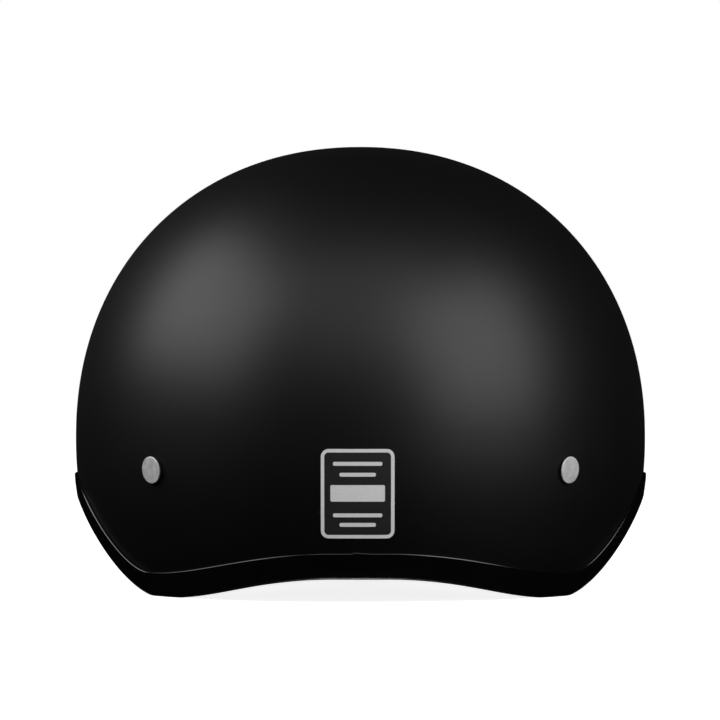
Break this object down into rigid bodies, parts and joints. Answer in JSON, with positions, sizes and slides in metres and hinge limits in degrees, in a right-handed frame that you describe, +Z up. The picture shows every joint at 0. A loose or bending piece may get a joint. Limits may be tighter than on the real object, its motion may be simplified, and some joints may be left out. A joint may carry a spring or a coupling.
{
  "type": "half shell motorcycle helmet",
  "caption": "Open half shell motorcycle helmet with rubber edge trim, foam liner, comfort pads, riveted yoke straps and a chin strap with rings, standing on its rim.",
  "frame": {"origin": "centre of the helmet's length and width, on the surface its rim stands on", "axes": "+Z up through the crown, -Y towards the brow (front), +X towards the wearer's left"},
  "size_m": [0.2392, 0.2845, 0.1834],
  "materials": {
    "shell": "matte black moulded shell",
    "trim": "smooth black vinyl rubber",
    "label": "printed matte film",
    "foam": "black expanded bead foam",
    "pad": "brushed knit over foam",
    "webbing": "woven nylon webbing",
    "rivet": "worn satin",
    "washer": "zinc plated",
    "ring": "polished plated wire",
    "snap": "black lacquered brass"
  },
  "bodies": {
    "helmet": {"outer_shell": "shell", "edge_trim": "trim", "rear_label": "label", "impact_liner": "foam", "crown_pad": "pad", "brow_pad": "pad", "nape_pad": "pad", "side_pad_left": "pad", "side_pad_right": "pad", "strap_tab_rear_left": "webbing", "rivet_rear_left": "rivet", "strap_tab_rear_right": "webbing", "rivet_rear_right": "rivet", "strap_tab_front_left": "webbing", "rivet_front_left": "rivet", "strap_tab_front_right": "webbing", "rivet_front_right": "rivet", "rivet_washers": "washer"},
    "yoke_left": {"yoke_leg_front_left": "webbing", "yoke_leg_rear_left": "webbing"},
    "yoke_right": {"yoke_leg_front_right": "webbing", "yoke_leg_rear_right": "webbing"},
    "ring_strap": {"ring_strap": "webbing", "snap_stud": "snap"},
    "d_ring_lower": {"d_ring_lower": "ring"},
    "d_ring_upper": {"d_ring_upper": "ring"},
    "chin_first": {"chin_strap_first": "webbing"},
    "chin_second": {"chin_strap_second": "webbing"},
    "chin_third": {"chin_strap_third": "webbing"},
    "chin_fourth": {"chin_strap_fourth": "webbing"},
    "chin_end": {"chin_strap_end": "webbing", "snap_cap": "snap"}
  },
  "joints": [
    {"name": "yoke_left_hinge", "type": "hinge", "parent": "helmet", "child": "yoke_left", "pos_m": [0.06005, 0.005, 0.0061], "axis": [0, -1, 0], "range_deg": [0, 90]},
    {"name": "yoke_right_hinge", "type": "hinge", "parent": "helmet", "child": "yoke_right", "pos_m": [-0.06005, 0.005, 0.0061], "axis": [0, 1, 0], "range_deg": [0, 90]},
    {"name": "ring_strap_fold", "type": "hinge", "parent": "yoke_left", "child": "ring_strap", "pos_m": [0.00794, 0.005, 0.0048], "axis": [0, -1, 0], "range_deg": [0, 100]},
    {"name": "d_ring_lower_pivot", "type": "hinge", "parent": "ring_strap", "child": "d_ring_lower", "pos_m": [0.04965, 0.005, 0.00675], "axis": [0, 1, 0], "range_deg": [0, 75]},
    {"name": "d_ring_upper_pivot", "type": "hinge", "parent": "ring_strap", "child": "d_ring_upper", "pos_m": [0.04939, 0.005, 0.01104], "axis": [0, -1, 0], "range_deg": [0, 120]},
    {"name": "chin_first_fold", "type": "hinge", "parent": "yoke_right", "child": "chin_first", "pos_m": [-0.00794, 0.005, 0.0048], "axis": [0, 1, 0], "range_deg": [0, 120]},
    {"name": "chin_second_fold", "type": "hinge", "parent": "chin_first", "child": "chin_second", "pos_m": [-0.04376, 0.005, 0.00894], "axis": [0, -1, 0], "range_deg": [0, 180]},
    {"name": "chin_third_fold", "type": "hinge", "parent": "chin_second", "child": "chin_third", "pos_m": [-0.0077, 0.005, 0.00879], "axis": [0, 1, 0], "range_deg": [0, 140]},
    {"name": "chin_fourth_fold", "type": "hinge", "parent": "chin_third", "child": "chin_fourth", "pos_m": [-0.04352, 0.005, 0.01293], "axis": [0, -1, 0], "range_deg": [0, 180]},
    {"name": "chin_end_fold", "type": "hinge", "parent": "chin_fourth", "child": "chin_end", "pos_m": [-0.00746, 0.005, 0.01278], "axis": [0, 1, 0], "range_deg": [0, 140]}
  ]
}
